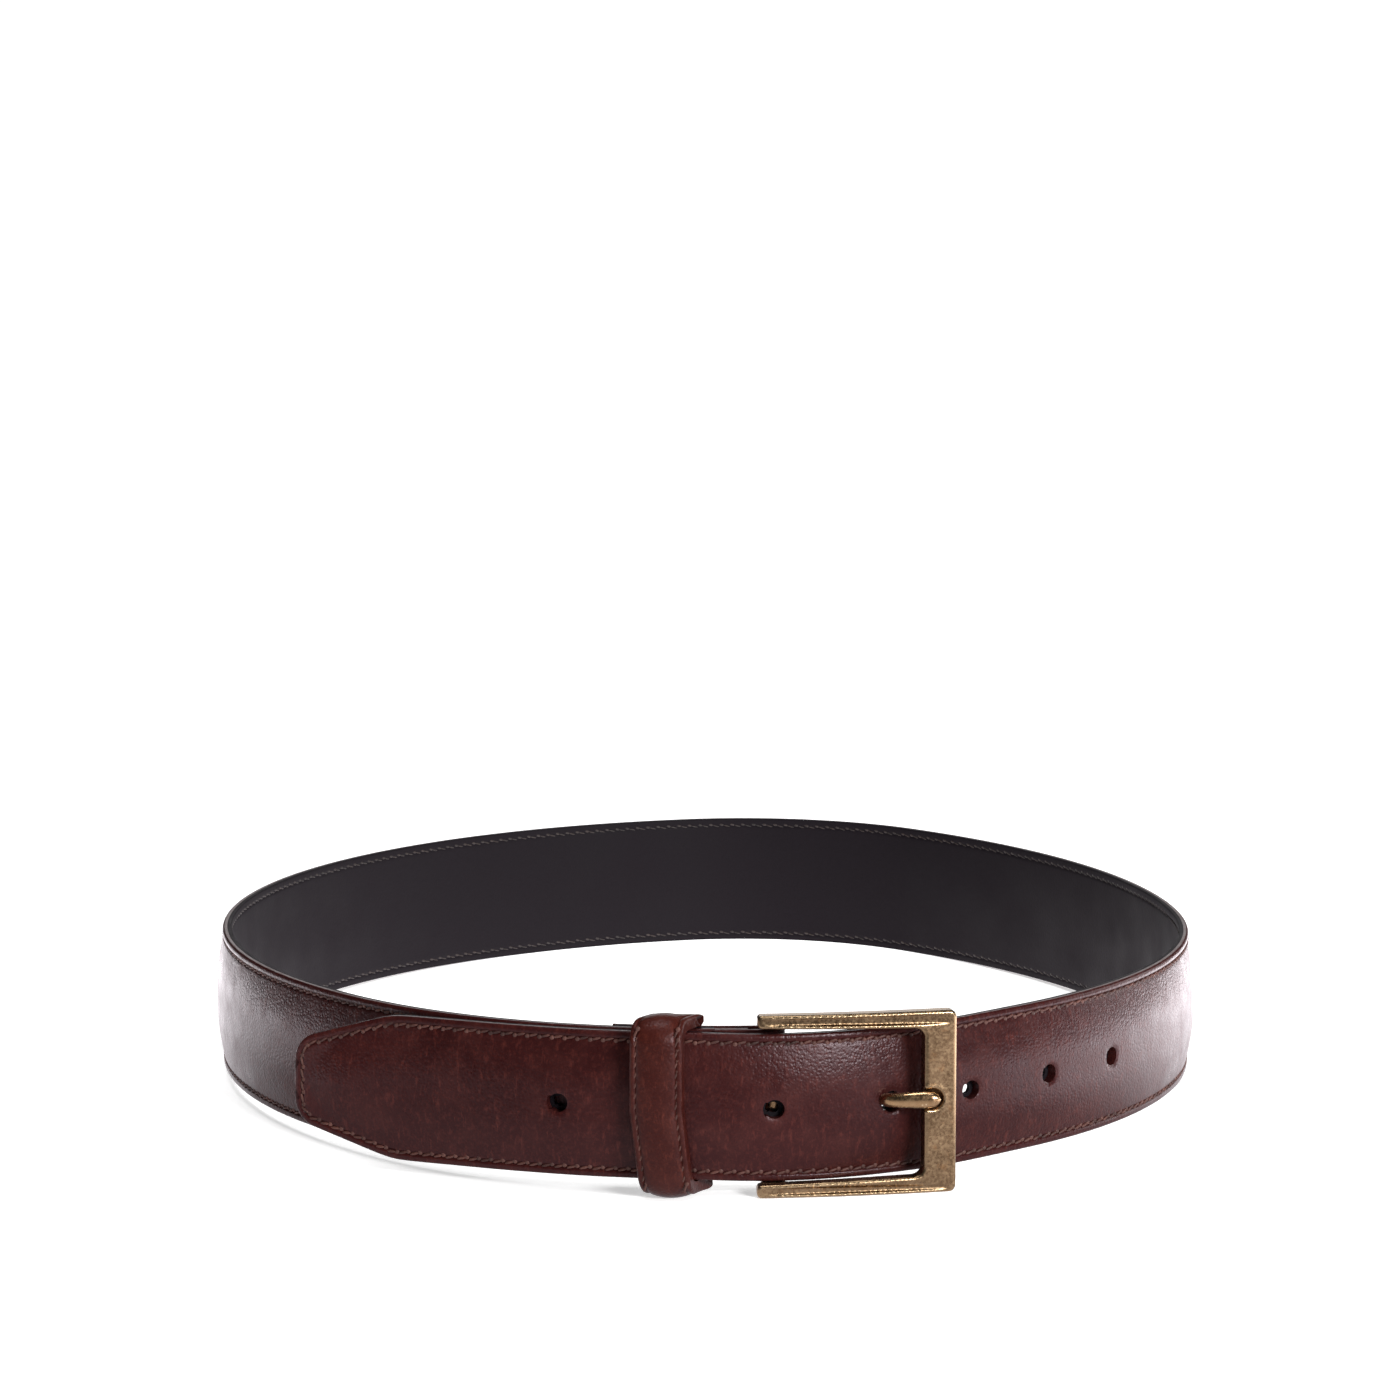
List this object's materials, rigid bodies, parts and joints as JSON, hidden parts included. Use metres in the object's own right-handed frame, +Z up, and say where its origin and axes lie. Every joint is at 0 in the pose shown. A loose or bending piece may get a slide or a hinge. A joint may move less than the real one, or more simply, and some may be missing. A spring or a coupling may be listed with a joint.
{
  "type": "leather belt",
  "caption": "Padded leather dress belt with stitched edges, square heel-bar buckle, prong, punched strap with tapered end and leather keeper loop, buckled and standing on edge.",
  "frame": {"origin": "middle of the loop's outline in plan, at the height of the buckle's underside", "axes": "+Z up along the strap's width, +Y from the buckle towards the back of the loop, +X to the right seen from the front, from the tapered end towards the buckle's bar"},
  "size_m": [0.2562, 0.3088, 0.0445],
  "materials": {
    "face_leather": "burnished, semi-gloss",
    "lining_leather": "matte",
    "core": "raw",
    "thread": "waxed",
    "lining_thread": "waxed",
    "keeper_leather": "burnished, semi-gloss",
    "antique_brass": "antique, mottled",
    "prong_brass": "polished, worn",
    "pin_steel": "plain"
  },
  "bodies": {
    "strap": {"face_buckle_side": "face_leather", "core_buckle_side": "core", "lining_buckle_side": "lining_leather", "needle_thread_buckle_side": "thread", "bobbin_thread_buckle_side": "lining_thread", "turnback_filler": "core", "turnback_stitching": "thread"},
    "free_half": {"face_free_side": "face_leather", "core_free_side": "core", "lining_free_side": "lining_leather", "needle_thread_free_side": "thread", "bobbin_thread_free_side": "lining_thread"},
    "frame": {"buckle_frame": "antique_brass", "pivot_bar": "pin_steel"},
    "prong": {"prong": "prong_brass"},
    "keeper": {"keeper_face": "keeper_leather", "keeper_core": "core", "keeper_lining": "lining_leather", "keeper_thread": "thread"}
  },
  "joints": [
    {"name": "open", "type": "hinge", "parent": "strap", "child": "free_half", "pos_m": [0.01116, 0.15439, 0.02225], "axis": [0, 0, 1], "range_deg": [0, 50], "deforming": ["face_free_side", "core_free_side", "lining_free_side", "needle_thread_free_side", "bobbin_thread_free_side"]},
    {"name": "frame_swing", "type": "hinge", "parent": "strap", "child": "frame", "pos_m": [0.01626, -0.14205, 0.02225], "axis": [0, 0, -1], "range_deg": [0, 35]},
    {"name": "prong_swing", "type": "hinge", "parent": "frame", "child": "prong", "pos_m": [0.01626, -0.14205, 0.02225], "axis": [0, 0, -1], "range_deg": [0, 65]},
    {"name": "keeper_slide", "type": "hinge", "parent": "strap", "child": "keeper", "pos_m": [0.00316, -0.01151, 0.02225], "axis": [0, 0, 1], "range_deg": [-0.4, 0.4]}
  ],
  "couplings": [
    {"joint": "frame_swing", "follows": "open", "ratio": 0.7},
    {"joint": "prong_swing", "follows": "open", "ratio": 1.3}
  ]
}
